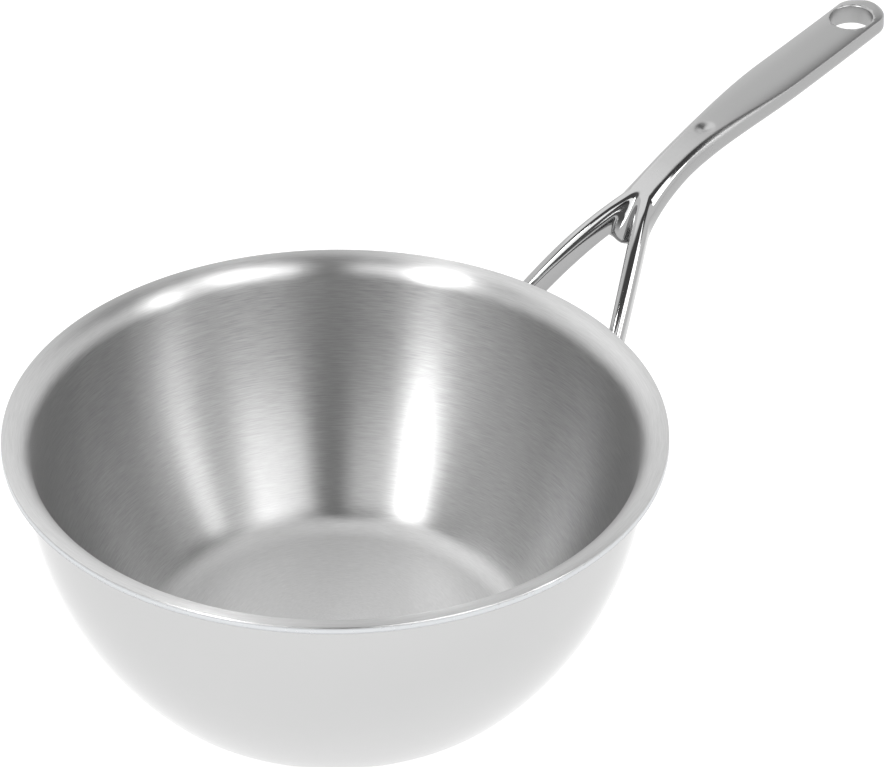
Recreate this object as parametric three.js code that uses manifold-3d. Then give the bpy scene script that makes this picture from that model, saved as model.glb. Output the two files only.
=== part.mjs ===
// A deep, rounded saute pan of clad stainless steel with a flared pouring lip and a forked cast handle.
// The bowl is five bonded plies pressed as one, and the handle's two prongs are welded to its wall.
// Millimetres and degrees, +Z up, origin at the middle of the base on the hob, handle along +X.

import * as THREE from 'three';
import { mergeVertices } from 'three/addons/utils/BufferGeometryUtils.js';
import Module from 'manifold-3d';

const wasm = await Module();
wasm.setup();

// Bowl: flat base, rounded corner, one long wall arc, then the lip turned outwards
const LIP_RADIUS = 126;
const PAN_HEIGHT = 107;
const BASE_RADIUS = 66;
const CORNER_RADIUS = 26;
const LIP_OVERHANG = 7.8;
const LIP_UNDERSIDE_RADIUS = 6;
const LIP_TURN = 85;
const LIP_EDGE_EASE = 0.4;

// Plies, from the cooking side to the hob side, with a hair between them where they bond
const COOKING_SKIN_THICKNESS = 0.5;
const UPPER_BOND_THICKNESS = 0.25;
const CORE_THICKNESS = 1.3;
const LOWER_BOND_THICKNESS = 0.25;
const OUTER_SKIN_THICKNESS = 0.5;
const BOND_LINE = 0.05;

// Handle, seen from the side: from the feet on the wall to a knee, then one long bend up to the tip
const FOOT_HEIGHT = 60;
const FOOT_SPREAD = 35.5;
const FOOT_SLOPE = 30;
const KNEE_FROM_FOOT = 34;
const KNEE_RISE = 30.2;
const KNEE_SLOPE = 45.4;
const KNEE_PULL = 77;
const HANDLE_LENGTH = 237;
const HANDLE_RISE = 92.9;
const GRIP_SLOPE = 8;
const GRIP_PULL = 126;

// Handle, seen from above: distances along X are from the feet or from the tip
const CROTCH_FROM_FOOT = 66;
const CROTCH_RADIUS = 5.6;
const CROTCH_LEAN = 8.5;
const SHOULDER_SHARE = 0.7;
const NECK_FROM_FOOT = 97;
const NECK_WIDTH = 15.4;
const GRIP_FROM_FOOT = 170;
const GRIP_WIDTH = 23;
const TIP_ROUNDING = 9;
const PRONG_WIDTH_AT_CROTCH = 7.4;
const PRONG_WIDTH_AT_FOOT = 5.4;
const PRONG_SPLAY_AT_CROTCH = 27;
const PRONG_SPLAY_AT_FOOT = 15;

// Handle, cut across
const GRIP_THICKNESS = 9.4;
const PRONG_THICKNESS = 10.2;
const GRIP_TOP_EDGE = 1;
const GRIP_UNDER_EDGE = 4;
const NECK_EDGE = 3.6;
const PRONG_EDGE = 2.4;

// Hanging hole near the tip, and the thumb dimple at the front of the grip
const HOLE_DIAMETER = 18.6;
const HOLE_FROM_TIP = 15.2;
const DIMPLE_FROM_FOOT = 118;
const DIMPLE_DIAMETER = 8.5;
const DIMPLE_DEPTH = 0.8;

// Weld beads between the prongs and the wall
const WELD_THICKNESS = 1.2;
const WELD_LEG = 1.5;
const SEAT_GAP = 0.15;

// Facets
const ROUND_STEPS = 44;
const CORNER_STEPS = 3;
const WALL_STEPS = 5;
const LIP_STEPS = 3;
const EDGE_STEPS = 3;
const TIP_STEPS = 5;
const GRIP_STEPS = 4;
const NECK_STEPS = 6;
const SHOULDER_STEPS = 4;
const ARCH_STEPS = 4;
const PRONG_STEPS = 9;
const HOLE_STEPS = 40;
const DIMPLE_STEPS = 16;

// Share of a curve's run that its two end pulls take, and rounds of closing in on a sought point
const CURVE_PULL = 1 / 3;
const SHOULDER_PULL = 1 / 4;
const SEARCH_ROUNDS = 40;

const radians = THREE.MathUtils.degToRad;
const lerp = THREE.MathUtils.lerp;

// Closed geometry from loose triangles: shared corners become one, slivers of no area go
function weld(geometry) {
  geometry.deleteAttribute('normal');
  geometry.deleteAttribute('uv');
  const merged = mergeVertices(geometry, 1e-4);
  const kept = [];
  for (let i = 0; i < merged.index.count; i += 3) {
    const [a, b, c] = [0, 1, 2].map((corner) => merged.index.getX(i + corner));
    if (a !== b && b !== c && c !== a) kept.push(a, b, c);
  }
  merged.setIndex(kept);
  return merged;
}

function toSolid(geometry) {
  const welded = weld(geometry);
  const vertProperties = Float32Array.from(welded.attributes.position.array);
  const triVerts = Uint32Array.from(welded.index.array);
  return new wasm.Manifold(new wasm.Mesh({ numProp: 3, vertProperties, triVerts }));
}

function toGeometry(solid) {
  const { vertProperties, triVerts } = solid.getMesh();
  const geometry = new THREE.BufferGeometry();
  geometry.setAttribute('position', new THREE.BufferAttribute(vertProperties, 3));
  geometry.setIndex(new THREE.BufferAttribute(triVerts, 1));
  return geometry;
}

function fromTriangles(points) {
  const geometry = new THREE.BufferGeometry();
  geometry.setFromPoints(points);
  geometry.setIndex(points.map((_, i) => i));
  return geometry;
}

// Bowl profile. The wall arc is upright at the neck and runs smoothly into the corner arc.
const wallThickness = COOKING_SKIN_THICKNESS + UPPER_BOND_THICKNESS + CORE_THICKNESS
  + LOWER_BOND_THICKNESS + OUTER_SKIN_THICKNESS + 4 * BOND_LINE;
const lipTurn = radians(LIP_TURN);
const neckRadius = LIP_RADIUS - LIP_OVERHANG;
const lipFlat = (LIP_OVERHANG - LIP_UNDERSIDE_RADIUS * (1 - Math.cos(lipTurn))) / Math.sin(lipTurn);
const neckHeight = PAN_HEIGHT - lipFlat * Math.cos(lipTurn)
  - (LIP_UNDERSIDE_RADIUS + wallThickness) * Math.sin(lipTurn);
const wallRun = neckRadius - BASE_RADIUS;
const wallRise = neckHeight - CORNER_RADIUS;
const wallRadius = (wallRun ** 2 + wallRise ** 2 - CORNER_RADIUS ** 2) / (2 * (wallRun - CORNER_RADIUS));
const wallCentre = neckRadius - wallRadius;
const cornerTurn = Math.atan2(BASE_RADIUS - wallCentre, wallRise);

// Points of the bowl's profile at a depth under its outer face, from the axis to the lip's edge
function bowlProfile(depth, edgeEase) {
  const points = [new THREE.Vector2(0, depth)];
  for (let i = 0; i <= CORNER_STEPS; i += 1) {
    const turn = (cornerTurn * i) / CORNER_STEPS;
    const radius = CORNER_RADIUS - depth;
    points.push(new THREE.Vector2(
      BASE_RADIUS + radius * Math.sin(turn),
      CORNER_RADIUS - radius * Math.cos(turn),
    ));
  }
  for (let i = 1; i <= WALL_STEPS; i += 1) {
    const turn = lerp(cornerTurn, Math.PI / 2, i / WALL_STEPS);
    const radius = wallRadius - depth;
    points.push(new THREE.Vector2(
      wallCentre + radius * Math.sin(turn),
      neckHeight - radius * Math.cos(turn),
    ));
  }
  const lipRadius = LIP_UNDERSIDE_RADIUS + depth;
  const lipCentre = neckRadius + LIP_UNDERSIDE_RADIUS;
  for (let i = 1; i <= LIP_STEPS; i += 1) {
    const turn = (lipTurn * i) / LIP_STEPS;
    points.push(new THREE.Vector2(
      lipCentre - lipRadius * Math.cos(turn),
      neckHeight + lipRadius * Math.sin(turn),
    ));
  }
  const end = points[points.length - 1];
  const reach = lipFlat - edgeEase;
  points.push(new THREE.Vector2(end.x + reach * Math.sin(lipTurn), end.y + reach * Math.cos(lipTurn)));
  return points;
}

// One ply: the band between two depths, turned round the pan's axis
function plyGeometry(outerDepth, thickness) {
  const innerDepth = outerDepth + thickness;
  const outerEase = outerDepth === 0 ? LIP_EDGE_EASE : 0;
  const innerEase = innerDepth > wallThickness - BOND_LINE ? LIP_EDGE_EASE : 0;
  const profile = [
    ...bowlProfile(outerDepth, outerEase),
    ...bowlProfile(innerDepth, innerEase).reverse(),
  ];
  const geometry = new THREE.LatheGeometry(profile, ROUND_STEPS);
  geometry.rotateX(Math.PI / 2);
  return weld(geometry);
}

// Outer radius of the wall at a height above the corner
function wallRadiusAt(height) {
  return wallCentre + Math.sqrt(wallRadius ** 2 - (neckHeight - height) ** 2);
}

// Handle's side curve, in the plane Y = 0
const footRadius = wallRadiusAt(FOOT_HEIGHT) + WELD_THICKNESS;
const footX = Math.sqrt(footRadius ** 2 - FOOT_SPREAD ** 2);
const tipX = footX + HANDLE_LENGTH;
const foot = new THREE.Vector2(footX, FOOT_HEIGHT);
const knee = new THREE.Vector2(footX + KNEE_FROM_FOOT, FOOT_HEIGHT + KNEE_RISE);
const tip = new THREE.Vector2(tipX, FOOT_HEIGHT + HANDLE_RISE);

// Curve between two points of the side view that leaves and arrives at given slopes
function sideCurve(start, startSlope, startPull, end, endSlope, endPull) {
  const leave = new THREE.Vector2(Math.cos(startSlope), Math.sin(startSlope)).multiplyScalar(startPull);
  const arrive = new THREE.Vector2(Math.cos(endSlope), Math.sin(endSlope)).multiplyScalar(endPull);
  return new THREE.CubicBezierCurve(start, start.clone().add(leave), end.clone().sub(arrive), end);
}

const footSlope = radians(FOOT_SLOPE);
const kneeSlope = radians(KNEE_SLOPE);
const gripSlope = radians(GRIP_SLOPE);
const landingPull = foot.distanceTo(knee) * CURVE_PULL;
const landing = sideCurve(foot, footSlope, landingPull, knee, kneeSlope, landingPull);
const bend = sideCurve(knee, kneeSlope, KNEE_PULL, tip, gripSlope, GRIP_PULL);

// Height and slope of the side curve over a distance from the pan's axis
function spineAt(x) {
  const curve = x < knee.x ? landing : bend;
  let low = 0;
  let high = 1;
  for (let i = 0; i < SEARCH_ROUNDS; i += 1) {
    const middle = (low + high) / 2;
    if (curve.getPoint(middle).x < x) low = middle;
    else high = middle;
  }
  const tangent = curve.getTangent(low);
  return { z: curve.getPoint(low).y, slope: Math.atan2(tangent.y, tangent.x) };
}

// Plan of the handle's left half. Outer edge from neck to grip, and the two edges of a prong.
const crotchX = footX + CROTCH_FROM_FOOT;
const neckX = footX + NECK_FROM_FOOT;
const gripX = footX + GRIP_FROM_FOOT;
const crotchSplay = radians(PRONG_SPLAY_AT_CROTCH);
const footSplay = radians(PRONG_SPLAY_AT_FOOT);
const archTurn = Math.PI / 2 - crotchSplay;
const archCentreX = crotchX - CROTCH_RADIUS;
const archEnd = new THREE.Vector2(
  archCentreX + CROTCH_RADIUS * Math.cos(archTurn),
  CROTCH_RADIUS * Math.sin(archTurn),
);

// A prong's edge runs from beside the crotch to the foot, easing from one splay to the other
function prongEdge(start, end) {
  const pull = start.distanceTo(end) * CURVE_PULL;
  const leave = new THREE.Vector2(-Math.cos(crotchSplay), Math.sin(crotchSplay)).multiplyScalar(pull);
  const arrive = new THREE.Vector2(-Math.cos(footSplay), Math.sin(footSplay)).multiplyScalar(pull);
  return new THREE.CubicBezierCurve(start, start.clone().add(leave), end.clone().sub(arrive), end);
}

function acrossProng(point, splay, distance) {
  return new THREE.Vector2(Math.sin(splay), Math.cos(splay)).multiplyScalar(distance).add(point);
}

const footPlan = new THREE.Vector2(footX, FOOT_SPREAD);
const innerEdge = prongEdge(archEnd, acrossProng(footPlan, footSplay, -PRONG_WIDTH_AT_FOOT / 2));
const outerStart = acrossProng(archEnd, crotchSplay, PRONG_WIDTH_AT_CROTCH);
const outerEdge = prongEdge(outerStart, acrossProng(footPlan, footSplay, PRONG_WIDTH_AT_FOOT / 2));
const shoulderPull = (neckX - outerStart.x) * SHOULDER_PULL;
const prongBackward = new THREE.Vector2(Math.cos(crotchSplay), -Math.sin(crotchSplay));
const shoulder = new THREE.CubicBezierCurve(
  new THREE.Vector2(neckX, NECK_WIDTH / 2),
  new THREE.Vector2(neckX - shoulderPull, NECK_WIDTH / 2),
  outerStart.clone().addScaledVector(prongBackward, shoulderPull),
  outerStart,
);

// Half width of the grip and neck, ending in a round tip
function gripHalfWidth(x) {
  const widening = THREE.MathUtils.smoothstep(x, neckX, gripX);
  const half = lerp(NECK_WIDTH, GRIP_WIDTH, widening) / 2;
  const intoTip = Math.max(0, x - (tipX - TIP_ROUNDING)) / TIP_ROUNDING;
  return half * Math.sqrt(Math.max(0, 1 - intoTip ** 2));
}

// Quarter circle of a section's corner, as offsets from its centre
function cornerArc(centreAcross, centreUp, radius, startTurn) {
  const points = [];
  for (let i = 0; i <= EDGE_STEPS; i += 1) {
    const turn = startTurn - (Math.PI / 2) * (i / EDGE_STEPS);
    points.push([centreAcross + radius * Math.cos(turn), centreUp + radius * Math.sin(turn)]);
  }
  return points;
}

// Outer part of a section, from the inner edge's top over the outer side to the inner edge's bottom
function outerSection(width, thickness, innerRound, topRound, underRound) {
  const half = thickness / 2;
  const room = Math.max(width - innerRound, 0);
  const top = Math.min(topRound, room);
  const under = Math.min(underRound, room);
  const flat = (innerRound + width - top) / 2;
  const flatUnder = (innerRound + width - under) / 2;
  return [
    [innerRound, half],
    [flat, half],
    ...cornerArc(width - top, half - top, top, Math.PI / 2),
    ...cornerArc(width - under, under - half, under, 0),
    [flatUnder, -half],
    [innerRound, -half],
  ];
}

// Inner side of a prong's section, from its bottom to its top, without the two ends
function innerSection(thickness, innerRound) {
  const half = thickness / 2;
  return [
    ...cornerArc(innerRound, innerRound - half, innerRound, -Math.PI / 2).slice(1),
    ...cornerArc(innerRound, half - innerRound, innerRound, Math.PI).slice(0, -1),
  ];
}

// A section's offsets set out in plan: over the inner rounding they run straight into the metal from the
// inner point, and from there across to the outer point. The section tips back with the slope, along X on
// the grip and along the prong where the turns say so. A lean slides the inner side along the handle,
// forwards at the top and back at the bottom. A prong's section is level across (level is 1).
function placeSection(offsets, { inner, into, innerRound, outer, lean, innerTurn, outerTurn, level }) {
  const root = into.clone().multiplyScalar(innerRound).add(inner);
  const reach = root.distanceTo(outer);
  const middle = (inner.x + outer.x) / 2;
  return offsets.map(([side, up]) => {
    const share = reach > 0 ? Math.max(side - innerRound, 0) / reach : 0;
    const turn = lerp(innerTurn, outerTurn, share);
    const along = new THREE.Vector2(Math.cos(turn), -Math.sin(turn));
    const shear = lean * (up / (PRONG_THICKNESS / 2)) * (1 - share);
    const plan = inner.clone().addScaledVector(into, Math.min(side, innerRound));
    plan.addScaledVector(outer, share).addScaledVector(root, -share);
    const { z, slope } = spineAt(lerp(plan.x, middle, level));
    plan.addScaledVector(along, shear * Math.cos(slope) - up * Math.sin(slope));
    return new THREE.Vector3(plan.x, plan.y, z + up * Math.cos(slope) + shear * Math.sin(slope));
  });
}

// Stations of the left half, from the tip to the crotch and from the crotch to the foot
function gripStations() {
  const stations = [];
  for (let i = 0; i <= TIP_STEPS; i += 1) {
    const turn = (Math.PI / 2) * (1 - i / TIP_STEPS);
    stations.push(tipX - TIP_ROUNDING + TIP_ROUNDING * Math.sin(turn));
  }
  for (let i = 1; i <= GRIP_STEPS; i += 1) {
    stations.push(lerp(tipX - TIP_ROUNDING, gripX, i / GRIP_STEPS));
  }
  for (let i = 1; i <= NECK_STEPS; i += 1) {
    stations.push(lerp(gripX, neckX, i / NECK_STEPS));
  }
  return stations;
}

const forwards = new THREE.Vector2(1, 0);
const straight = { into: forwards, innerRound: 0, lean: 0, innerTurn: 0, outerTurn: 0, level: 0 };

function gripSection(x) {
  const half = gripHalfWidth(x);
  const widening = THREE.MathUtils.smoothstep(x, neckX, gripX);
  const thickness = lerp(PRONG_THICKNESS, GRIP_THICKNESS, widening);
  const topRound = lerp(NECK_EDGE, GRIP_TOP_EDGE, widening);
  const underRound = lerp(NECK_EDGE, GRIP_UNDER_EDGE, widening);
  const offsets = outerSection(half, thickness, 0, topRound, underRound);
  const inner = new THREE.Vector2(x, 0);
  const outer = new THREE.Vector2(x, half);
  return placeSection(offsets, { ...straight, inner, outer });
}

// Splay of a plan curve that runs towards the pan, at a share of its run
function splayAt(curve, share) {
  const tangent = curve.getTangent(share);
  return Math.atan2(tangent.y, -tangent.x);
}

function shoulderSection(step) {
  const share = step / SHOULDER_STEPS;
  const outer = shoulder.getPoint(share * SHOULDER_SHARE);
  const outerTurn = splayAt(shoulder, share * SHOULDER_SHARE);
  const inner = new THREE.Vector2(lerp(neckX, crotchX + PRONG_EDGE, share), 0);
  const lean = CROTCH_LEAN * Math.max(0, 2 * share - 1);
  const round = lerp(NECK_EDGE, PRONG_EDGE, share);
  const offsets = outerSection(inner.distanceTo(outer), PRONG_THICKNESS, 0, round, round);
  return placeSection(offsets, { ...straight, inner, outer, lean, outerTurn });
}

function prongSection(place) {
  const innerRound = PRONG_EDGE;
  const root = place.into.clone().multiplyScalar(innerRound).add(place.inner);
  const width = innerRound + root.distanceTo(place.outer);
  const outerPart = outerSection(width, PRONG_THICKNESS, innerRound, PRONG_EDGE, PRONG_EDGE);
  const offsets = [...outerPart, ...innerSection(PRONG_THICKNESS, innerRound)];
  return placeSection(offsets, { ...place, innerRound });
}

// The arch between the prongs leans, and the lean fades out down the prongs
function leanAt(ring) {
  return CROTCH_LEAN * Math.max(0, 1 - ring / (2 * ARCH_STEPS));
}

function prongSections() {
  const sections = [];
  const archCentre = new THREE.Vector2(archCentreX, 0);
  for (let i = 0; i <= ARCH_STEPS; i += 1) {
    const share = i / ARCH_STEPS;
    const into = new THREE.Vector2(Math.cos(archTurn * share), Math.sin(archTurn * share));
    const inner = into.clone().multiplyScalar(CROTCH_RADIUS).add(archCentre);
    const along = lerp(SHOULDER_SHARE, 1, share);
    const outer = shoulder.getPoint(along);
    const innerTurn = crotchSplay * share;
    const outerTurn = splayAt(shoulder, along);
    const lean = leanAt(i);
    sections.push(prongSection({ inner, into, outer, lean, innerTurn, outerTurn, level: share }));
  }
  for (let i = 1; i <= PRONG_STEPS; i += 1) {
    const share = i / PRONG_STEPS;
    const inner = innerEdge.getPoint(share);
    const outer = outerEdge.getPoint(share);
    const into = outer.clone().sub(inner).normalize();
    const innerTurn = splayAt(innerEdge, share);
    const outerTurn = splayAt(outerEdge, share);
    const lean = leanAt(ARCH_STEPS + i);
    sections.push(prongSection({ inner, into, outer, lean, innerTurn, outerTurn, level: 1 }));
  }
  return sections;
}

// Move a point along a direction until it stands off the wall by a distance
function standOff(point, direction, distance) {
  const moved = point.clone();
  for (let i = 0; i < SEARCH_ROUNDS; i += 1) {
    const excess = Math.hypot(moved.x, moved.y) - wallRadiusAt(moved.z) - distance;
    moved.addScaledVector(direction, excess);
  }
  return moved;
}

function quad(triangles, a, b, c, d) {
  triangles.push(a, c, b, a, d, c);
}

function bridge(triangles, first, second, closed) {
  const count = closed ? first.length : first.length - 1;
  for (let i = 0; i < count; i += 1) {
    const next = (i + 1) % first.length;
    quad(triangles, first[i], first[next], second[next], second[i]);
  }
}

function fan(triangles, ring, centre) {
  for (let i = 0; i < ring.length; i += 1) {
    triangles.push(ring[i], centre, ring[(i + 1) % ring.length]);
  }
}

function centreOf(points) {
  const sum = new THREE.Vector3();
  points.forEach((point) => sum.add(point));
  return sum.divideScalar(points.length);
}

// The prong's foot, cut to the wall's curve just clear of the weld
const prongRings = prongSections();
const beforeFoot = centreOf(prongRings[prongRings.length - 2]);
const footDirection = centreOf(prongRings[prongRings.length - 1]).sub(beforeFoot).normalize();
const footFace = WELD_THICKNESS + SEAT_GAP;
const footRing = prongRings[prongRings.length - 1].map((point) => standOff(point, footDirection, footFace));
prongRings[prongRings.length - 1] = footRing;
const footCentre = standOff(centreOf(footRing), footDirection, footFace);

function mirrored(triangles) {
  const other = [];
  for (let i = 0; i < triangles.length; i += 3) {
    [triangles[i], triangles[i + 2], triangles[i + 1]].forEach((point) => {
      other.push(new THREE.Vector3(point.x, -point.y, point.z));
    });
  }
  return other;
}

function handleLoft() {
  const triangles = [];
  const halves = gripStations().map(gripSection);
  for (let step = 1; step < SHOULDER_STEPS; step += 1) halves.push(shoulderSection(step));
  const outerCount = halves[0].length;
  halves.push(prongRings[0].slice(0, outerCount));
  for (let i = 0; i + 1 < halves.length; i += 1) bridge(triangles, halves[i + 1], halves[i], false);
  for (let i = 0; i + 1 < prongRings.length; i += 1) {
    bridge(triangles, prongRings[i + 1], prongRings[i], true);
  }
  fan(triangles, [...footRing].reverse(), footCentre);
  return fromTriangles([...triangles, ...mirrored(triangles)]);
}

// Tools that cut the hanging hole and the thumb dimple, square to the grip's top
function holeTool() {
  const radius = HOLE_DIAMETER / 2;
  const throughAndPast = 2 * GRIP_THICKNESS;
  const geometry = new THREE.CylinderGeometry(radius, radius, throughAndPast, HOLE_STEPS);
  const { z, slope } = spineAt(tipX - HOLE_FROM_TIP);
  geometry.rotateX(Math.PI / 2);
  geometry.rotateY(-slope);
  geometry.translate(tipX - HOLE_FROM_TIP, 0, z);
  return geometry;
}

function dimpleTool() {
  const geometry = new THREE.SphereGeometry(1, DIMPLE_STEPS, DIMPLE_STEPS / 2);
  const x = footX + DIMPLE_FROM_FOOT;
  const { z, slope } = spineAt(x);
  const half = lerp(PRONG_THICKNESS, GRIP_THICKNESS, THREE.MathUtils.smoothstep(x, neckX, gripX)) / 2;
  geometry.rotateX(Math.PI / 2);
  geometry.scale(DIMPLE_DIAMETER / 2, DIMPLE_DIAMETER / 2, DIMPLE_DEPTH);
  geometry.rotateY(-slope);
  geometry.translate(x - half * Math.sin(slope), 0, z + half * Math.cos(slope));
  return geometry;
}

function handleGeometry() {
  const solid = toSolid(handleLoft()).subtract(toSolid(holeTool())).subtract(toSolid(dimpleTool()));
  return toGeometry(solid);
}

// A weld bead: a collar that spreads from the prong's foot onto the wall
function weldGeometry(side) {
  const inward = new THREE.Vector3(-footCentre.x, -footCentre.y, 0).normalize();
  const top = footRing.map((point) => standOff(point, inward, WELD_THICKNESS));
  const topCentre = standOff(footCentre, inward, WELD_THICKNESS);
  const spread = footRing.map((point) => {
    const out = point.clone().sub(footCentre);
    return standOff(out.setLength(out.length() + WELD_LEG).add(footCentre), inward, SEAT_GAP);
  });
  const spreadCentre = standOff(footCentre, inward, SEAT_GAP);
  const triangles = [];
  bridge(triangles, spread, top, true);
  fan(triangles, [...spread].reverse(), spreadCentre);
  fan(triangles, top, topCentre);
  return weld(fromTriangles(side > 0 ? triangles : mirrored(triangles)));
}

const part = new THREE.Group();

function addPiece(name, geometry, color, roughness) {
  const material = new THREE.MeshStandardMaterial({ color, roughness, metalness: 1 });
  const mesh = new THREE.Mesh(geometry, material);
  mesh.name = name;
  part.add(mesh);
}

const lowerBondDepth = OUTER_SKIN_THICKNESS + BOND_LINE;
const coreDepth = lowerBondDepth + LOWER_BOND_THICKNESS + BOND_LINE;
const upperBondDepth = coreDepth + CORE_THICKNESS + BOND_LINE;
const cookingDepth = upperBondDepth + UPPER_BOND_THICKNESS + BOND_LINE;

addPiece('outer_skin', plyGeometry(0, OUTER_SKIN_THICKNESS), 0xd8d8d8, 0.12);
addPiece('lower_bond_ply', plyGeometry(lowerBondDepth, LOWER_BOND_THICKNESS), 0xb9bcbf, 0.5);
addPiece('heat_core', plyGeometry(coreDepth, CORE_THICKNESS), 0xc6c8ca, 0.5);
addPiece('upper_bond_ply', plyGeometry(upperBondDepth, UPPER_BOND_THICKNESS), 0xb9bcbf, 0.5);
addPiece('cooking_skin', plyGeometry(cookingDepth, COOKING_SKIN_THICKNESS), 0xc9c8c6, 0.35);
addPiece('left_weld', weldGeometry(1), 0xb4b4b2, 0.3);
addPiece('right_weld', weldGeometry(-1), 0xb4b4b2, 0.3);
addPiece('fork_handle', handleGeometry(), 0xcfcfcd, 0.25);

export default part;
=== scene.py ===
import math
import bmesh
import bpy
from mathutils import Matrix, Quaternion, Vector


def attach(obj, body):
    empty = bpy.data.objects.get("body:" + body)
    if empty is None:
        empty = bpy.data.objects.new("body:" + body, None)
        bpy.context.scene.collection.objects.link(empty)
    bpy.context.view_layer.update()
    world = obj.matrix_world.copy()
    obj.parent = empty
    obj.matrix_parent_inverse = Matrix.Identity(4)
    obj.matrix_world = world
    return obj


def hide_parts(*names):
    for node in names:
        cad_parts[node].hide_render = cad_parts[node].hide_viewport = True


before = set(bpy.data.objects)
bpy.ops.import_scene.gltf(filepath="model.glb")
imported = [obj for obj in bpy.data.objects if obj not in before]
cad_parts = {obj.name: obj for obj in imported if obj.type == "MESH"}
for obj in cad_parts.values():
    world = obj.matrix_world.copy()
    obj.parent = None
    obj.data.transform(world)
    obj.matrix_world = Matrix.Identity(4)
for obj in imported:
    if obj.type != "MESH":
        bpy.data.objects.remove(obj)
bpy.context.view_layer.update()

# Outer skin: the polished stainless sheet outside the bowl, pressed with the other plies from one clad disc.
# Its profile is a flat base, a round corner, one long wall arc and a lip turned outwards, spun round the axis.
MM = 0.001
LIP_RADIUS = 125.98
PAN_HEIGHT = 107.0
BASE_RADIUS = 66.0
CORNER_RADIUS = 26.0
LIP_OVERHANG = 7.8
LIP_UNDERSIDE_RADIUS = 6.0
LIP_TURN = math.radians(85)
LIP_EDGE_ROUND = 0.4
WALL_THICKNESS = 3.0
SKIN_THICKNESS = 0.5
SPIN_STEPS = 176
CORNER_STEPS = 12
WALL_STEPS = 24
LIP_STEPS = 14
LIP_EDGE_STEPS = 4
MERGE_DISTANCE = 1e-6

lip_flat = (LIP_OVERHANG - LIP_UNDERSIDE_RADIUS * (1 - math.cos(LIP_TURN))) / math.sin(LIP_TURN)
neck_radius = LIP_RADIUS - LIP_OVERHANG
neck_height = (PAN_HEIGHT - lip_flat * math.cos(LIP_TURN)
               - (LIP_UNDERSIDE_RADIUS + WALL_THICKNESS) * math.sin(LIP_TURN))
wall_run = neck_radius - BASE_RADIUS
wall_rise = neck_height - CORNER_RADIUS
wall_radius = (wall_run ** 2 + wall_rise ** 2 - CORNER_RADIUS ** 2) / (2 * (wall_run - CORNER_RADIUS))
wall_centre = neck_radius - wall_radius
corner_turn = math.atan2(BASE_RADIUS - wall_centre, wall_rise)


def bowl_line(depth, edge_round=0.0):
    """Profile at a depth under the bowl's outer face, as (radius, height) in mm from the axis to the lip's edge."""
    line = [(0.0, depth), (BASE_RADIUS / 2, depth)]
    for i in range(CORNER_STEPS + 1):
        turn = corner_turn * i / CORNER_STEPS
        radius = CORNER_RADIUS - depth
        line.append((BASE_RADIUS + radius * math.sin(turn), CORNER_RADIUS - radius * math.cos(turn)))
    for i in range(1, WALL_STEPS + 1):
        turn = corner_turn + (math.pi / 2 - corner_turn) * i / WALL_STEPS
        radius = wall_radius - depth
        line.append((wall_centre + radius * math.sin(turn), neck_height - radius * math.cos(turn)))
    radius = LIP_UNDERSIDE_RADIUS + depth
    for i in range(1, LIP_STEPS + 1):
        turn = LIP_TURN * i / LIP_STEPS
        line.append((neck_radius + LIP_UNDERSIDE_RADIUS - radius * math.cos(turn),
                     neck_height + radius * math.sin(turn)))
    across, up = line[-1]
    reach = lip_flat - edge_round
    line.append((across + reach * math.sin(LIP_TURN), up + reach * math.cos(LIP_TURN)))
    return line


def lip_corner(depth, inwards):
    """Quarter round at the lip's edge of a skin, from its face at a depth into the sheet."""
    face = bowl_line(depth)[-2]
    side = Vector((-math.cos(LIP_TURN), math.sin(LIP_TURN))) * inwards
    along = Vector((math.sin(LIP_TURN), math.cos(LIP_TURN)))
    line = []
    for i in range(1, LIP_EDGE_STEPS + 1):
        turn = math.pi / 2 * i / LIP_EDGE_STEPS
        reach = lip_flat - LIP_EDGE_ROUND * (1 - math.sin(turn))
        point = Vector(face) + along * reach + side * (LIP_EDGE_ROUND * (1 - math.cos(turn)))
        line.append(tuple(point))
    return line


def draw_line(name, points):
    """A new piece in edit mode: one vertex extruded from point to point, in mm."""
    bpy.ops.object.select_all(action="DESELECT")
    bpy.ops.mesh.primitive_plane_add(size=1)
    piece = bpy.context.object
    piece.name = piece.data.name = name
    bpy.ops.object.mode_set(mode="EDIT")
    bpy.ops.mesh.select_all(action="SELECT")
    bpy.ops.mesh.merge(type="CENTER")
    bpy.ops.object.mode_set(mode="OBJECT")
    bpy.ops.object.mode_set(mode="EDIT")
    bpy.ops.mesh.select_all(action="SELECT")
    places = [Vector(point) * MM for point in points]
    bpy.ops.transform.translate(value=places[0])
    for here, there in zip(places, places[1:]):
        bpy.ops.mesh.extrude_region_move(TRANSFORM_OT_translate={"value": there - here})
    return piece


def close_up(piece, smooth_angle):
    """Join doubled vertices, turn the faces outwards and shade the piece smooth."""
    bpy.ops.mesh.select_all(action="SELECT")
    bpy.ops.mesh.remove_doubles(threshold=MERGE_DISTANCE)
    bpy.ops.mesh.normals_make_consistent(inside=False)
    bpy.ops.object.mode_set(mode="OBJECT")
    bpy.ops.object.shade_smooth_by_angle(angle=math.radians(smooth_angle))


def spin_ply(name, outline):
    piece = draw_line(name, [(across, 0, up) for across, up in outline])
    bpy.ops.mesh.select_all(action="SELECT")
    bpy.ops.mesh.spin(steps=SPIN_STEPS, angle=2 * math.pi, center=(0, 0, 0), axis=(0, 0, 1))
    close_up(piece, smooth_angle=35)
    return piece


def linear(hex_colour):
    """Linear RGBA of an sRGB colour written as six hex digits."""
    channels = []
    for i in (0, 2, 4):
        value = int(hex_colour[i:i + 2], 16) / 255
        channels.append(value / 12.92 if value <= 0.04045 else ((value + 0.055) / 1.055) ** 2.4)
    return (*channels, 1.0)


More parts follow.
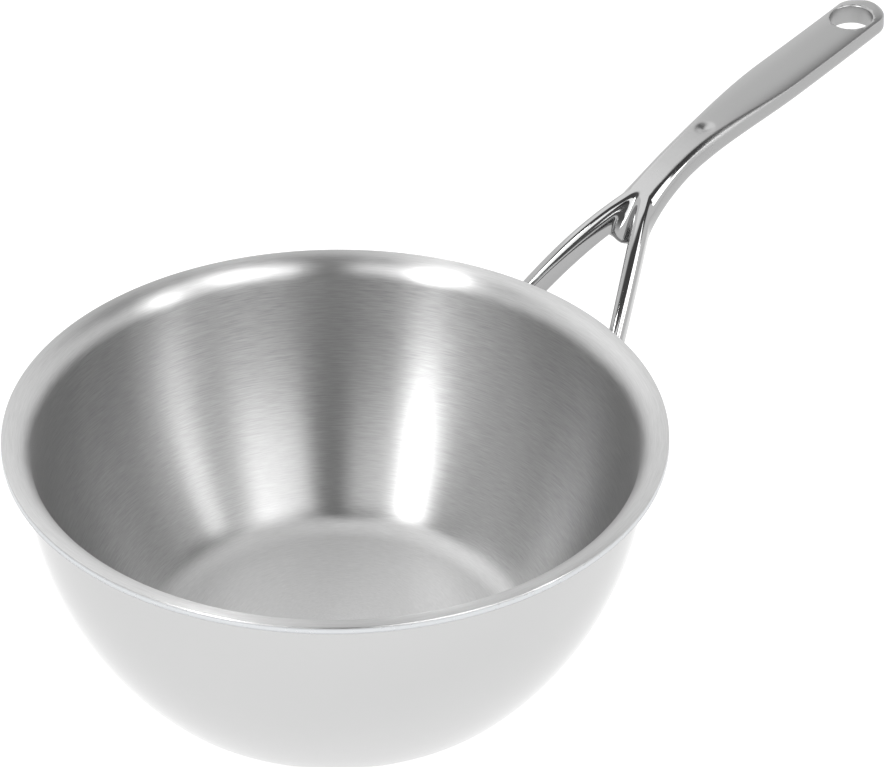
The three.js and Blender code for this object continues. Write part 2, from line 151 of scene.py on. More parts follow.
def add_node(tree, kind, inputs=None, **settings):
    """A node with its settings, and its inputs set to values or linked to sockets."""
    node = tree.nodes.new(kind)
    for name, value in settings.items():
        setattr(node, name, value)
    for name, value in (inputs or {}).items():
        if isinstance(value, bpy.types.NodeSocket):
            tree.links.new(value, node.inputs[name])
        else:
            node.inputs[name].default_value = value
    return node


def new_metal(name, hex_colour, roughness):
    material = bpy.data.materials.new(name)
    material.use_nodes = True
    shader = material.node_tree.nodes["Principled BSDF"]
    shader.inputs["Base Color"].default_value = linear(hex_colour)
    shader.inputs["Metallic"].default_value = 1.0
    shader.inputs["Roughness"].default_value = roughness
    return material, material.node_tree, shader


def spread(tree, source, low, high):
    """A socket's 0.3 to 0.7 drawn out to a range of values."""
    ramp = add_node(tree, "ShaderNodeMapRange", {"Value": source, "From Min": 0.3, "From Max": 0.7,
                                                 "To Min": low, "To Max": high})
    return ramp.outputs["Result"]


def round_lines(tree, width_mm, length_mm):
    """Noise drawn out into lines round the pan's axis, a width across and a length along the wall."""
    place = add_node(tree, "ShaderNodeTexCoord").outputs["Object"]
    split = add_node(tree, "ShaderNodeSeparateXYZ", {"Vector": place})
    flat = add_node(tree, "ShaderNodeCombineXYZ", {"X": split.outputs["X"], "Y": split.outputs["Y"]})
    size = add_node(tree, "ShaderNodeVectorMath", {0: flat.outputs["Vector"]}, operation="LENGTH")
    way = add_node(tree, "ShaderNodeVectorMath", {0: flat.outputs["Vector"]}, operation="NORMALIZE")
    round_way = add_node(tree, "ShaderNodeVectorMath",
                         {0: way.outputs["Vector"], "Scale": LIP_RADIUS / length_mm}, operation="SCALE")
    down = add_node(tree, "ShaderNodeMath", {0: size.outputs["Value"], 1: split.outputs["Z"]}, operation="ADD")
    down_lines = add_node(tree, "ShaderNodeMath", {0: down.outputs["Value"], 1: 1 / (width_mm * MM)},
                          operation="MULTIPLY")
    lines = add_node(tree, "ShaderNodeCombineXYZ", {"Z": down_lines.outputs["Value"]})
    where = add_node(tree, "ShaderNodeVectorMath",
                     {0: round_way.outputs["Vector"], 1: lines.outputs["Vector"]}, operation="ADD")
    noise = add_node(tree, "ShaderNodeTexNoise", {"Vector": where.outputs["Vector"], "Scale": 1.0,
                                                  "Detail": 2.0, "Roughness": 0.6})
    return noise.outputs["Fac"]


outer_skin = spin_ply("outer_skin", bowl_line(0, LIP_EDGE_ROUND) + lip_corner(0, 1)
                      + bowl_line(SKIN_THICKNESS)[::-1])

# Polished stainless: a bright mirror with hairlines of the polishing wheel round the wall and soft handling haze.
HAIRLINE_WIDTH = 0.5
HAIRLINE_LENGTH = 60
HAZE_SIZE = 0.04

polished_steel, tree, shader = new_metal("polished_stainless_steel", "BEBEBE", 0.1)
hairlines = round_lines(tree, HAIRLINE_WIDTH, HAIRLINE_LENGTH)
place = add_node(tree, "ShaderNodeTexCoord").outputs["Object"]
haze = add_node(tree, "ShaderNodeTexNoise", {"Vector": place, "Scale": 1 / HAZE_SIZE, "Detail": 3.0})
tree.links.new(spread(tree, haze.outputs["Fac"], 0.07, 0.12), shader.inputs["Roughness"])
dent = add_node(tree, "ShaderNodeBump", {"Height": hairlines, "Strength": 0.05, "Distance": 0.00002})
tree.links.new(dent.outputs["Normal"], shader.inputs["Normal"])
outer_skin.data.materials.append(polished_steel)
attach(outer_skin, "root")
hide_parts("outer_skin")

# Aluminium plies: two thin sheets of bonding alloy with a thick core of pure aluminium between them.
# They are roll-bonded to the skins and show only as fine lines on the lip's cut edge.
BOND_LINE = 0.05
ALLOY_THICKNESS = 0.25
CORE_THICKNESS = 1.3
ROLLED_GRAIN = 0.002

rolled_aluminium, tree, shader = new_metal("rolled_aluminium", "C9CBCD", 0.3)
place = add_node(tree, "ShaderNodeTexCoord").outputs["Object"]
grain = add_node(tree, "ShaderNodeTexNoise", {"Vector": place, "Scale": 1 / ROLLED_GRAIN, "Detail": 3.0})
tree.links.new(spread(tree, grain.outputs["Fac"], 0.25, 0.4), shader.inputs["Roughness"])

depth = SKIN_THICKNESS + BOND_LINE
for name, thickness, slot in (("lower_bond_ply", ALLOY_THICKNESS, "bonding_alloy"),
                              ("heat_core", CORE_THICKNESS, "core_aluminium"),
                              ("upper_bond_ply", ALLOY_THICKNESS, "bonding_alloy")):
    ply = spin_ply(name, bowl_line(depth) + bowl_line(depth + thickness)[::-1])
    ply.data.materials.append(rolled_aluminium)
    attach(ply, "root")
    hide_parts(name)
    depth += thickness + BOND_LINE

# Cooking skin: the stainless sheet that lines the bowl and turns over the lip.
# It is brushed round the pan's axis, which draws highlights out into upright streaks.
cooking_skin = spin_ply("cooking_skin", bowl_line(depth) + lip_corner(WALL_THICKNESS, -1)[::-1]
                        + bowl_line(WALL_THICKNESS, LIP_EDGE_ROUND)[::-1])

# Satin stainless: soft grey with fine lines round the bowl; a scratch is drawn about 0.4 mm wide to show.
# The floor is brushed duller than the wall, so that it takes light from all over the bowl's mouth.
SCRATCH_WIDTH = 0.4
SCRATCH_LENGTH = 9
FLOOR_TOP = 0.0031
WALL_FOOT = 0.007
LIP_START = 0.097
LIP_FULL = 0.104

satin_steel, tree, shader = new_metal("satin_stainless_steel", "B4B4B4", 0.4)
brushing = round_lines(tree, SCRATCH_WIDTH, SCRATCH_LENGTH)
place = add_node(tree, "ShaderNodeTexCoord").outputs["Object"]
height = add_node(tree, "ShaderNodeSeparateXYZ", {"Vector": place}).outputs["Z"]
wall = add_node(tree, "ShaderNodeMapRange", {"Value": height, "From Min": FLOOR_TOP, "From Max": WALL_FOOT},
                interpolation_type="SMOOTHSTEP").outputs["Result"]
lip = add_node(tree, "ShaderNodeMapRange", {"Value": height, "From Min": LIP_START, "From Max": LIP_FULL},
               interpolation_type="SMOOTHSTEP").outputs["Result"]
lines = []
# Base colour by height: the floor and the lip are painted lighter than the wall. This painted light stands in for
# the light they catch. Each zone has a darker and a lighter colour for the brushing.
for floor_painted_light, on_wall, lip_painted_light in (("C8C8C8", "8A8A8A", "A8A8A8"), ("E4E4E4", "B8B8B8", "C8C8C8")):
    bowl = add_node(tree, "ShaderNodeMix", {"Factor": wall, "A": linear(floor_painted_light), "B": linear(on_wall)},
                    data_type="RGBA")
    whole = add_node(tree, "ShaderNodeMix", {"Factor": lip, "A": bowl.outputs[2], "B": linear(lip_painted_light)},
                     data_type="RGBA")
    lines.append(whole.outputs[2])
shades = add_node(tree, "ShaderNodeMix", {"Factor": brushing, "A": lines[0], "B": lines[1]}, data_type="RGBA")
tree.links.new(shades.outputs[2], shader.inputs["Base Color"])
roughness = add_node(tree, "ShaderNodeMix", {0: wall, 2: spread(tree, brushing, 0.54, 0.6),
                                             3: spread(tree, brushing, 0.34, 0.4)})
tree.links.new(roughness.outputs[0], shader.inputs["Roughness"])
dent = add_node(tree, "ShaderNodeBump", {"Height": brushing, "Strength": 0.1, "Distance": 0.00004})
tree.links.new(dent.outputs["Normal"], shader.inputs["Normal"])
way = add_node(tree, "ShaderNodeVectorMath", {0: (0, 0, 1), 1: place}, operation="CROSS_PRODUCT")
round_way = add_node(tree, "ShaderNodeVectorMath", {0: way.outputs["Vector"]}, operation="NORMALIZE")
tree.links.new(round_way.outputs["Vector"], shader.inputs["Tangent"])
drawn_out = add_node(tree, "ShaderNodeMapRange", {"Value": wall, "To Min": 0.2, "To Max": 0.93})
tree.links.new(drawn_out.outputs["Result"], shader.inputs["Anisotropic"])
shader.inputs["Anisotropic Rotation"].default_value = 0.25
cooking_skin.data.materials.append(satin_steel)
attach(cooking_skin, "root")
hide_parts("cooking_skin")

# Forked handle: one stainless casting, a flat satin grip that narrows to a polished neck and splits into two prongs.
# The left half is extruded section by section from the tip to the foot, with the thumb dimple sunk in its sections.
# It is then mirrored, and a flared tool drills the hanging hole and rounds its rims.
FOOT_HEIGHT = 60.0
FOOT_SPREAD = 35.5
FOOT_SLOPE = math.radians(30)
FOOT_GAP = 0.05
WELD_THICKNESS = 1.2
KNEE_FROM_FOOT = 34.0
KNEE_RISE = 30.2
KNEE_SLOPE = math.radians(45.4)
KNEE_PULL = 77.0
HANDLE_LENGTH = 237.0
HANDLE_RISE = 92.9
GRIP_SLOPE = math.radians(8)
GRIP_PULL = 126.0
CROTCH_FROM_FOOT = 66.0
CROTCH_RADIUS = 5.6
CROTCH_LEAN = 8.5
SHOULDER_SHARE = 0.7
NECK_FROM_FOOT = 97.0
NECK_WIDTH = 15.4
GRIP_FROM_FOOT = 170.0
GRIP_WIDTH = 23.0
TIP_ROUNDING = 9.0
PRONG_WIDTH_AT_CROTCH = 7.4
PRONG_WIDTH_AT_FOOT = 5.4
PRONG_SPLAY_AT_CROTCH = math.radians(27)
PRONG_SPLAY_AT_FOOT = math.radians(15)
GRIP_THICKNESS = 9.4
PRONG_THICKNESS = 10.2
GRIP_TOP_EDGE = 0.6
GRIP_UNDER_EDGE = 4.0
NECK_EDGE = 3.6
SHOULDER_EDGE = 5.0
PRONG_EDGE = 2.4
PRONG_TOP_EDGE = 2.9
CROTCH_RIM = 5.0
ARCH_END_RIM = 4.2
GRIP_CROWN = 0.8
HOLE_DIAMETER = 18.6
HOLE_FROM_TIP = 15.2
HOLE_RIM = 0.8
DIMPLE_FROM_FOOT = 118.0
DIMPLE_RADIUS = 4.6
DIMPLE_DEPTH = 1.0
EDGE_STEPS = 6
TOP_STEPS = 12
UNDER_STEPS = 4
TIP_STEPS = 16
GRIP_STEPS = 28
NECK_STEPS = 100
SHOULDER_STEPS = 16
ARCH_STEPS = 16
PRONG_STEPS = 40
RIM_STEPS = 6
RIM_TURN = math.radians(75)
DRILL_REACH = 20.0
SOLVER_STEPS = 40


def wall_radius_at(height):
    return wall_centre + math.sqrt(wall_radius ** 2 - (neck_height - height) ** 2)


def lerp(start, end, share):
    return start + (end - start) * share


def smooth(value, start, end):
    """0 before the start, 1 after the end, and an easy ramp between."""
    share = min(max((value - start) / (end - start), 0), 1)
    return share * share * (3 - 2 * share)


def bezier(start, leave, arrive, end):
    """A cubic through two points in a plane, with the steps that leave the first and arrive at the last."""
    return [Vector(start), Vector(start) + leave, Vector(end) - arrive, Vector(end)]


def curve_at(curve, share):
    """Point and direction of a cubic at a share of its run."""
    a, b, c, d = curve
    rest = 1 - share
    point = a * rest ** 3 + b * (3 * rest ** 2 * share) + c * (3 * rest * share ** 2) + d * share ** 3
    way = (b - a) * (rest ** 2) + (c - b) * (2 * rest * share) + (d - c) * share ** 2
    return point, way.normalized()


def slope_step(slope, length):
    return Vector((math.cos(slope), math.sin(slope))) * length


foot_x = math.sqrt((wall_radius_at(FOOT_HEIGHT) + WELD_THICKNESS) ** 2 - FOOT_SPREAD ** 2)
tip_x = foot_x + HANDLE_LENGTH
crotch_x = foot_x + CROTCH_FROM_FOOT
neck_x = foot_x + NECK_FROM_FOOT
grip_x = foot_x + GRIP_FROM_FOOT
knee = Vector((foot_x + KNEE_FROM_FOOT, FOOT_HEIGHT + KNEE_RISE))
landing_pull = math.hypot(KNEE_FROM_FOOT, KNEE_RISE) / 3
landing = bezier((foot_x, FOOT_HEIGHT), slope_step(FOOT_SLOPE, landing_pull),
                 slope_step(KNEE_SLOPE, landing_pull), knee)
bend = bezier(knee, slope_step(KNEE_SLOPE, KNEE_PULL), slope_step(GRIP_SLOPE, GRIP_PULL),
              (tip_x, FOOT_HEIGHT + HANDLE_RISE))


def spine_at(x):
    """Height and slope of the handle's side curve over a distance from the pan's axis."""
    curve = landing if x < knee.x else bend
    low, high = 0.0, 1.0
    for _ in range(SOLVER_STEPS):
        middle = (low + high) / 2
        if curve_at(curve, middle)[0].x < x:
            low = middle
        else:
            high = middle
    point, way = curve_at(curve, low)
    return point.y, math.atan2(way.y, way.x)


def toward_pan(splay, length):
    return Vector((-math.cos(splay), math.sin(splay))) * length


def across_prong(point, splay, distance):
    return Vector(point) + Vector((math.sin(splay), math.cos(splay))) * distance


def prong_edge(start, end):
    pull = (Vector(end) - Vector(start)).length / 3
    return bezier(start, toward_pan(PRONG_SPLAY_AT_CROTCH, pull), toward_pan(PRONG_SPLAY_AT_FOOT, pull), end)


arch_turn = math.pi / 2 - PRONG_SPLAY_AT_CROTCH
arch_centre = Vector((crotch_x - CROTCH_RADIUS, 0))
arch_end = arch_centre + Vector((math.cos(arch_turn), math.sin(arch_turn))) * CROTCH_RADIUS
foot_plan = (foot_x, FOOT_SPREAD)
inner_edge = prong_edge(arch_end, across_prong(foot_plan, PRONG_SPLAY_AT_FOOT, -PRONG_WIDTH_AT_FOOT / 2))
outer_start = across_prong(arch_end, PRONG_SPLAY_AT_CROTCH, PRONG_WIDTH_AT_CROTCH)
outer_edge = prong_edge(outer_start, across_prong(foot_plan, PRONG_SPLAY_AT_FOOT, PRONG_WIDTH_AT_FOOT / 2))
shoulder_pull = (neck_x - outer_start.x) / 4
shoulder = bezier((neck_x, NECK_WIDTH / 2), Vector((-shoulder_pull, 0)),
                  toward_pan(PRONG_SPLAY_AT_CROTCH, shoulder_pull), outer_start)


def splay_at(curve, share):
    way = curve_at(curve, share)[1]
    return math.atan2(way.y, -way.x)


def corner_arc(across, up, radius, start_turn):
    arc = []
    for i in range(EDGE_STEPS + 1):
        turn = start_turn - math.pi / 2 * i / EDGE_STEPS
        arc.append((across + radius * math.cos(turn), up + radius * math.sin(turn)))
    return arc


def outer_section(width, top, bottom, rims, edges):
    """Section from the inner edge's top over the outer side to the inner edge's bottom.

    The rims round the inner edges and the edges round the outer ones, each as (top, bottom).
    """
    top_round = min(edges[0], max(width - rims[0], 0))
    under_round = min(edges[1], max(width - rims[1], 0))
    top_flat = [(lerp(rims[0], width - top_round, i / TOP_STEPS), top) for i in range(TOP_STEPS)]
    under_flat = [(lerp(width - under_round, rims[1], i / UNDER_STEPS), bottom) for i in range(1, UNDER_STEPS + 1)]
    return (top_flat + corner_arc(width - top_round, top - top_round, top_round, math.pi / 2)
            + corner_arc(width - under_round, bottom + under_round, under_round, 0) + under_flat)


def inner_section(half, rims):
    """Inner side of a prong's section from its bottom to its top, without the two ends."""
    return (corner_arc(rims[1], rims[1] - half, rims[1], -math.pi / 2)[1:]
            + corner_arc(rims[0], half - rims[0], rims[0], math.pi)[:-1])


def place_section(offsets, inner, outer, into=Vector((1, 0)), inner_round=0.0, lean=0.0,
                  inner_turn=0.0, outer_turn=0.0, level=0.0):
    """Set a section's offsets out in plan from the inner to the outer point, tipped back with the side curve."""
    root = inner + into * inner_round
    reach = (outer - root).length
    middle = (root.x + outer.x) / 2
    places = []
    for side, up in offsets:
        share = max(side - inner_round, 0) / reach if reach > 0 else 0
        turn = lerp(inner_turn, outer_turn, share)
        along = Vector((math.cos(turn), -math.sin(turn)))
        shear = lean * up / (PRONG_THICKNESS / 2) * (1 - share ** 2)
        plan = inner + into * min(side, inner_round) + (outer - root) * share
        height, slope = spine_at(lerp(plan.x, middle, level))
        plan += along * (shear * math.cos(slope) - up * math.sin(slope))
        places.append(Vector((plan.x, plan.y, height + up * math.cos(slope) + shear * math.sin(slope))))
    return places


def grip_section(x):
    widening = smooth(x, neck_x, grip_x)
    into_tip = max(0, x - (tip_x - TIP_ROUNDING)) / TIP_ROUNDING
    half_width = lerp(NECK_WIDTH, GRIP_WIDTH, widening) / 2 * math.sqrt(max(0, 1 - into_tip ** 2))
    half = lerp(PRONG_THICKNESS, GRIP_THICKNESS, widening) / 2
    top_round = lerp(NECK_EDGE, GRIP_TOP_EDGE, widening)
    under_round = lerp(NECK_EDGE, GRIP_UNDER_EDGE, widening)
    from_tip = tip_x - x
    top = half - end_drop(from_tip, top_round)
    bottom = -half + end_drop(from_tip, under_round)
    offsets = outer_section(half_width, top, bottom, (0, 0), (top_round, under_round))
    crowned = []
    for side, up in offsets:
        if up > 0:
            up -= GRIP_CROWN * widening * (side / half_width) ** 4
            away = min(math.hypot(x - foot_x - DIMPLE_FROM_FOOT, side) / DIMPLE_RADIUS, 1)
            up -= DIMPLE_DEPTH * (1 + math.cos(math.pi * away)) / 2
        crowned.append((side, up))
    return place_section(crowned, Vector((x, 0)), Vector((x, half_width)))


def end_drop(from_tip, edge_round):
    """How far an edge's rounding lowers a face this near the tip."""
    into = max(0, edge_round - from_tip)
    return edge_round - math.sqrt(edge_round ** 2 - into ** 2)


def shoulder_section(share):
    outer = curve_at(shoulder, share * SHOULDER_SHARE)[0]
    inner = Vector((lerp(neck_x, crotch_x + CROTCH_RIM, share), 0))
    edges = (lerp(NECK_EDGE, SHOULDER_EDGE, share), lerp(NECK_EDGE, PRONG_EDGE, share))
    half = PRONG_THICKNESS / 2
    offsets = outer_section((outer - inner).length, half, -half, (0, 0), edges)
    return place_section(offsets, inner, outer, lean=CROTCH_LEAN * smooth(share, 0.3, 1),
                         outer_turn=splay_at(shoulder, share * SHOULDER_SHARE))


def prong_section(inner, outer, into, rim, edge, **turns):
    half = PRONG_THICKNESS / 2
    width = rim + (outer - inner - into * rim).length
    rims = (rim, PRONG_EDGE)
    offsets = outer_section(width, half, -half, rims, (edge, PRONG_EDGE)) + inner_section(half, rims)
    return place_section(offsets, inner, outer, into, rim, **turns)


def arch_ring(share):
    into = Vector((math.cos(arch_turn * share), math.sin(arch_turn * share)))
    along = lerp(SHOULDER_SHARE, 1, share)
    edge = lerp(SHOULDER_EDGE, PRONG_TOP_EDGE, smooth(share, 0, 1))
    return prong_section(arch_centre + into * CROTCH_RADIUS, curve_at(shoulder, along)[0], into,
                         lerp(CROTCH_RIM, ARCH_END_RIM, share), edge,
                         lean=CROTCH_LEAN * (1 - smooth(share / 2, 0, 1)), level=smooth(share, 0, 1),
                         inner_turn=PRONG_SPLAY_AT_CROTCH * share, outer_turn=splay_at(shoulder, along))


def prong_ring(share):
    inner = curve_at(inner_edge, share)[0]
    outer = curve_at(outer_edge, share)[0]
    fade = 1 - smooth(0.5 + share, 0, 1)
    rim = lerp(ARCH_END_RIM, PRONG_EDGE, smooth(share, 0, 0.5))
    return prong_section(inner, outer, (outer - inner).normalized(), rim, PRONG_TOP_EDGE,
                         lean=CROTCH_LEAN * fade, level=1,
                         inner_turn=splay_at(inner_edge, share), outer_turn=splay_at(outer_edge, share))


def stand_off(point, way, distance):
    """Move a point along a direction until it stands off the bowl's wall by a distance."""
    point = Vector(point)
    for _ in range(SOLVER_STEPS):
        point += way * (math.hypot(point.x, point.y) - wall_radius_at(point.z) - distance)
    return point


def extrude_to(piece, ring, places):
    """Extrude the selected ring of edges and set its new vertices at their places, in mm."""
    bpy.ops.mesh.extrude_edges_move()
    mesh = bmesh.from_edit_mesh(piece.data)
    mesh.verts.ensure_lookup_table()
    new_ring = []
    for i, point in zip(ring, places, strict=True):
        old = mesh.verts[i]
        new = next(edge.other_vert(old) for edge in old.link_edges if edge.other_vert(old).select)
        new.co = point * MM
        new_ring.append(new.index)
    bmesh.update_edit_mesh(piece.data)
    return new_ring


def extrude_corner(piece, ring, steps):
    """Extrude a ring's last vertex through some steps and join it to the first, then select the closed ring."""
    mesh = bmesh.from_edit_mesh(piece.data)
    mesh.verts.ensure_lookup_table()
    bpy.ops.mesh.select_all(action="DESELECT")
    mesh.verts[ring[-1]].select_set(True)
    for step in steps:
        bpy.ops.mesh.extrude_region_move(TRANSFORM_OT_translate={"value": step * MM})
    mesh = bmesh.from_edit_mesh(piece.data)
    mesh.verts.ensure_lookup_table()
    closed = ring + list(range(len(mesh.verts) - len(steps), len(mesh.verts)))
    mesh.verts[ring[0]].select_set(True)
    bpy.ops.mesh.edge_face_add()
    for i in closed:
        mesh.verts[i].select_set(True)
    mesh.select_flush(True)
    bmesh.update_edit_mesh(piece.data)
    return closed


stations = [tip_x - TIP_ROUNDING * (1 - math.cos(math.pi / 2 * i / TIP_STEPS)) for i in range(1, TIP_STEPS + 1)]
stations += [lerp(tip_x - TIP_ROUNDING, grip_x, i / GRIP_STEPS) for i in range(1, GRIP_STEPS + 1)]
stations += [lerp(grip_x, neck_x, i / NECK_STEPS) for i in range(1, NECK_STEPS + 1)]
sections = [grip_section(x) for x in stations]
sections += [shoulder_section(i / SHOULDER_STEPS) for i in range(1, SHOULDER_STEPS)]
rings = [arch_ring(i / ARCH_STEPS) for i in range(ARCH_STEPS + 1)]
rings += [prong_ring(i / PRONG_STEPS) for i in range(1, PRONG_STEPS + 1)]
foot_way = (sum(rings[-1], Vector()) - sum(rings[-2], Vector())).normalized()
rings[-2:] = [[stand_off(point, foot_way, FOOT_GAP) for point in rings[-1]]]

handle = draw_line("fork_handle", sections[0])
bpy.ops.mesh.select_all(action="SELECT")
half_count = len(sections[0])
ring = list(range(half_count))
for section in sections[1:] + [rings[0][:half_count]]:
    ring = extrude_to(handle, ring, section)
inner_side = rings[0][half_count - 1:]
ring = extrude_corner(handle, ring, [there - here for here, there in zip(inner_side, inner_side[1:])])
for section in rings[1:]:
    ring = extrude_to(handle, ring, section)
bpy.ops.mesh.edge_face_add()
bpy.ops.object.mode_set(mode="OBJECT")
other_half = handle.modifiers.new("other_half", "MIRROR")
other_half.use_axis = (False, True, False)
other_half.merge_threshold = MERGE_DISTANCE
bpy.ops.object.modifier_apply(modifier="other_half")
bpy.ops.object.mode_set(mode="EDIT")
bpy.ops.mesh.select_all(action="DESELECT")
bpy.ops.mesh.select_non_manifold()
bpy.ops.mesh.edge_face_add()
close_up(handle, smooth_angle=40)

hole_x = tip_x - HOLE_FROM_TIP
hole_height, hole_slope = spine_at(hole_x)
drill_line = [(0.0, -DRILL_REACH), (HOLE_DIAMETER / 2 + HOLE_RIM, -DRILL_REACH)]
for side in (-1, 1):
    for i in range(RIM_STEPS + 1):
        turn = RIM_TURN * (1 - i / RIM_STEPS if side < 0 else i / RIM_STEPS)
        drill_line.append((HOLE_DIAMETER / 2 + HOLE_RIM * (1 - math.cos(turn)),
                           side * (GRIP_THICKNESS / 2 - HOLE_RIM * (1 - math.sin(turn)))))
drill_line += [(HOLE_DIAMETER / 2 + HOLE_RIM, DRILL_REACH), (0.0, DRILL_REACH)]
drill = spin_ply("drill", drill_line)
drill.location = (hole_x * MM, 0, hole_height * MM)
drill.rotation_euler = (0, -hole_slope, 0)
bpy.context.view_layer.objects.active = handle
cut = handle.modifiers.new("hanging_hole", "BOOLEAN")
cut.object = drill
cut.operation = "DIFFERENCE"
cut.solver = "EXACT"
bpy.ops.object.modifier_apply(modifier="hanging_hole")
bpy.data.objects.remove(drill)

# Cast stainless: satin on the grip and the flat top of the neck, polished to a mirror on the prongs.
FORK_END = 0.176
NECK_SATIN = 0.2
GRIP_SATIN = 0.23
TOP_TILT = 0.15
SIDE_TILT = 0.3
CAST_GRAIN = 0.0012

cast_steel, tree, shader = new_metal("cast_stainless_steel", "A0A0A0", 0.2)
texture = add_node(tree, "ShaderNodeTexCoord")
split = add_node(tree, "ShaderNodeSeparateXYZ", {"Vector": texture.outputs["Object"]})
facing = add_node(tree, "ShaderNodeSeparateXYZ", {"Vector": texture.outputs["Normal"]})
sideways = add_node(tree, "ShaderNodeMath", {0: facing.outputs["Y"]}, operation="ABSOLUTE")
on_top = add_node(tree, "ShaderNodeMapRange", {"Value": sideways.outputs["Value"], "From Min": TOP_TILT,
                                               "From Max": SIDE_TILT, "To Min": 1.0, "To Max": 0.0})
past_fork = add_node(tree, "ShaderNodeMapRange", {"Value": split.outputs["X"], "From Min": FORK_END,
                                                  "From Max": NECK_SATIN})
flat_top = add_node(tree, "ShaderNodeMath", {0: on_top.outputs["Result"], 1: past_fork.outputs["Result"]},
                    operation="MULTIPLY")
grip = add_node(tree, "ShaderNodeMapRange", {"Value": split.outputs["X"], "From Min": NECK_SATIN,
                                             "From Max": GRIP_SATIN}, interpolation_type="SMOOTHSTEP")
satin = add_node(tree, "ShaderNodeMath", {0: flat_top.outputs["Value"], 1: grip.outputs["Result"]},
                 operation="MAXIMUM")
grain = add_node(tree, "ShaderNodeTexNoise", {"Vector": texture.outputs["Object"], "Scale": 1 / CAST_GRAIN,
                                              "Detail": 3.0})
rough_satin = spread(tree, grain.outputs["Fac"], 0.31, 0.35)
rough_polish = spread(tree, grain.outputs["Fac"], 0.06, 0.09)
roughness = add_node(tree, "ShaderNodeMix", {0: satin.outputs["Value"], 2: rough_polish, 3: rough_satin})
tree.links.new(roughness.outputs[0], shader.inputs["Roughness"])
handle.data.materials.append(cast_steel)
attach(handle, "root")
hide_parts("fork_handle")

# Welds: a fillet bead of weld steel round the foot of each prong, dressed smooth against wall and prong.
# Each bead is extruded as rings from the prong out to its toe on the wall and back over a hollow face.
WELD_LEG = 1.8
BEAD_SHARES = (0.25, 0.5, 0.75)
RIPPLE_SIZE = 0.0015

weld_steel, tree, shader = new_metal("dressed_weld_steel", "C0C0BF", 0.3)
place = add_node(tree, "ShaderNodeTexCoord").outputs["Object"]
ripple = add_node(tree, "ShaderNodeTexNoise", {"Vector": place, "Scale": 1 / RIPPLE_SIZE, "Detail": 2.0})
tree.links.new(spread(tree, ripple.outputs["Fac"], 0.22, 0.38), shader.inputs["Roughness"])
dent = add_node(tree, "ShaderNodeBump", {"Height": ripple.outputs["Fac"], "Strength": 0.3, "Distance": 0.0002})
tree.links.new(dent.outputs["Normal"], shader.inputs["Normal"])

foot_middle = sum(rings[-1], Vector()) / len(rings[-1])
toes = []
for point in rings[-1]:
    outwards = point - foot_middle
    outwards = (outwards - foot_way * outwards.dot(foot_way)).normalized()
    toe = stand_off(point + outwards * WELD_LEG, foot_way, FOOT_GAP)
    top = point - foot_way * WELD_LEG + outwards * FOOT_GAP
    toes.append((point + outwards * FOOT_GAP, toe, top))
for name, side in (("left_weld", 1), ("right_weld", -1)):
    loops = []
    roots = [Vector((p.x, p.y * side, p.z)) for p, _, _ in toes]
    loops.append([Vector((p.x, p.y * side, p.z)) for _, p, _ in toes])
    for share in BEAD_SHARES:
        loop = []
        for root, toe, top in toes:
            point = toe.lerp(top, share).lerp(root, share * (1 - share))
            loop.append(Vector((point.x, point.y * side, point.z)))
        loops.append(loop)
    loops.append([Vector((p.x, p.y * side, p.z)) for _, _, p in toes])
    loops.append(roots)
    bead = draw_line(name, roots)
    ring = extrude_corner(bead, list(range(len(roots))), [])
    for loop in loops:
        ring = extrude_to(bead, ring, loop)
    close_up(bead, smooth_angle=50)
    bead.data.materials.append(weld_steel)
    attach(bead, "root")
    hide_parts(name)

# Studio: a lit white acrylic table just under the base, and five softboxes that the camera doesn't see.
# Two stand to the camera's left and two to its right, leaning to slant the wall's streaks, and one is high.
TABLE_SIZE = 8
TABLE_DROP = 0.0002
AIM_HEIGHT = 0.06

bpy.ops.mesh.primitive_plane_add(size=TABLE_SIZE, location=(0, 0, -TABLE_DROP))
floor = bpy.context.object
floor.name = "lit_table"
white_acrylic = bpy.data.materials.new("white_acrylic")
white_acrylic.use_nodes = True
shader = white_acrylic.node_tree.nodes["Principled BSDF"]
shader.inputs["Base Color"].default_value = linear("808080")
shader.inputs["Roughness"].default_value = 0.6
shader.inputs["Specular IOR Level"].default_value = 0.0
shader.inputs["Emission Color"].default_value = linear("FFFFFF")
shader.inputs["Emission Strength"].default_value = 0.9
floor.data.materials.append(white_acrylic)


def softbox(name, azimuth, elevation, distance, width, height, power, lean):
    """An area light at a bearing from the pan, turned to face it, its top leaning to a side."""
    light = bpy.data.lights.new(name, "AREA")
    light.shape = "RECTANGLE"
    light.size = width
    light.size_y = height
    light.energy = power
    box = bpy.data.objects.new(name, light)
    turn, rise = math.radians(azimuth), math.radians(elevation)
    way = Vector((math.cos(turn) * math.cos(rise), math.sin(turn) * math.cos(rise), math.sin(rise)))
    box.location = way * distance + Vector((0, 0, AIM_HEIGHT))
    leaning = Quaternion((0, 0, 1), math.radians(lean))
    box.rotation_euler = (way.to_track_quat("Z", "Y") @ leaning).to_euler()
    box.visible_camera = False
    bpy.context.collection.objects.link(box)


softbox("left_strip", azimuth=180, elevation=40, distance=1.3, width=0.2, height=1.2, power=11.5, lean=25)
softbox("left_bank", azimuth=200, elevation=44, distance=1.4, width=0.6, height=1.1, power=4.8, lean=12)
softbox("right_bank", azimuth=-104, elevation=42, distance=1.4, width=0.65, height=1.2, power=9, lean=-12)
softbox("right_strip", azimuth=-67, elevation=27, distance=1.3, width=0.2, height=0.9, power=3.8, lean=-24)
softbox("high_bank", azimuth=-75, elevation=60, distance=1.3, width=0.5, height=0.5, power=3, lean=0)

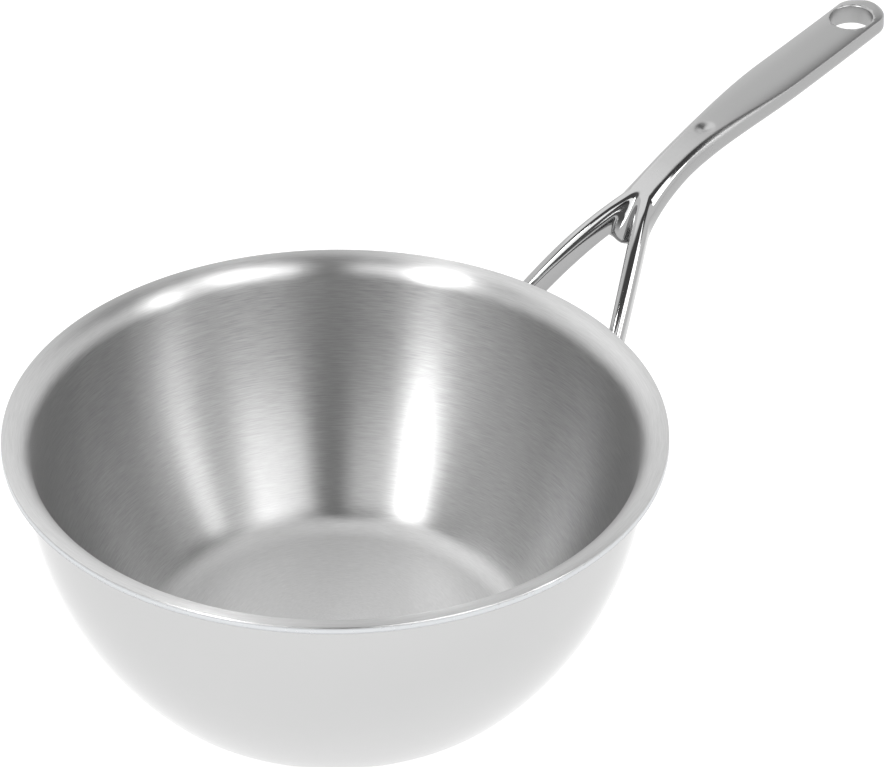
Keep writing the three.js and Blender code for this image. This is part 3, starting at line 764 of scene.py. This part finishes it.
# Surround: a white tent round the table, dark overhead, with a lit panel over the handle for it to reflect.
# The tent is open to a dark room at the camera, and the camera itself sees plain white.
ROOM_WAY = Vector((-0.663, -0.629, 0.407))
PANEL_WAY = Vector((0.112, 0.633, 0.766))
world = bpy.data.worlds.new("studio")
world.use_nodes = True
tree = world.node_tree
sky = tree.nodes["Background"]
way = add_node(tree, "ShaderNodeTexCoord").outputs["Generated"]
rise = add_node(tree, "ShaderNodeSeparateXYZ", {"Vector": way}).outputs["Z"]
walls = add_node(tree, "ShaderNodeMapRange", {"Value": rise, "From Min": 0.6, "From Max": 0.82,
                                              "To Min": 1.3, "To Max": 0.13}, interpolation_type="SMOOTHSTEP")
near_panel = add_node(tree, "ShaderNodeVectorMath", {0: way, 1: PANEL_WAY}, operation="DOT_PRODUCT")
panel = add_node(tree, "ShaderNodeMapRange", {"Value": near_panel.outputs["Value"], "From Min": 0.87,
                                              "From Max": 0.94, "To Min": 0.0, "To Max": 1.8},
                 interpolation_type="SMOOTHSTEP")
white = add_node(tree, "ShaderNodeMath", {0: walls.outputs["Result"], 1: panel.outputs["Result"]},
                 operation="MAXIMUM")
near_room = add_node(tree, "ShaderNodeVectorMath", {0: way, 1: ROOM_WAY}, operation="DOT_PRODUCT")
room = add_node(tree, "ShaderNodeMapRange", {"Value": near_room.outputs["Value"], "From Min": 0.72,
                                             "From Max": 0.93, "To Min": 1.0, "To Max": 0.14},
                interpolation_type="SMOOTHSTEP")
tent = add_node(tree, "ShaderNodeMath", {0: white.outputs["Value"], 1: room.outputs["Result"]},
                operation="MULTIPLY")
seen = add_node(tree, "ShaderNodeLightPath").outputs["Is Camera Ray"]
strength = add_node(tree, "ShaderNodeMath", {0: tent.outputs["Value"], 1: seen}, operation="MAXIMUM")
tree.links.new(strength.outputs["Value"], sky.inputs["Strength"])
sky.inputs["Color"].default_value = linear("FFFFFF")
bpy.context.scene.world = world

# Camera: a long lens above and in front of the pan, with the handle running away to the right.
# It is fitted to the lip's ellipse, the bowl's outline and the hanging hole.
CAMERA_PLACE = Vector((-0.67931, -0.64464, 0.74811))

camera = bpy.data.cameras.new("camera")
camera.lens = 122.178
camera.sensor_width = 36.0
camera.sensor_fit = "HORIZONTAL"
eye = bpy.data.objects.new("camera", camera)
eye.location = CAMERA_PLACE
eye.rotation_euler = (math.radians(56.3269), math.radians(-0.7179), math.radians(-48.4552))
bpy.context.collection.objects.link(eye)
bpy.context.scene.camera = eye
bpy.context.scene.view_settings.view_transform = "Standard"
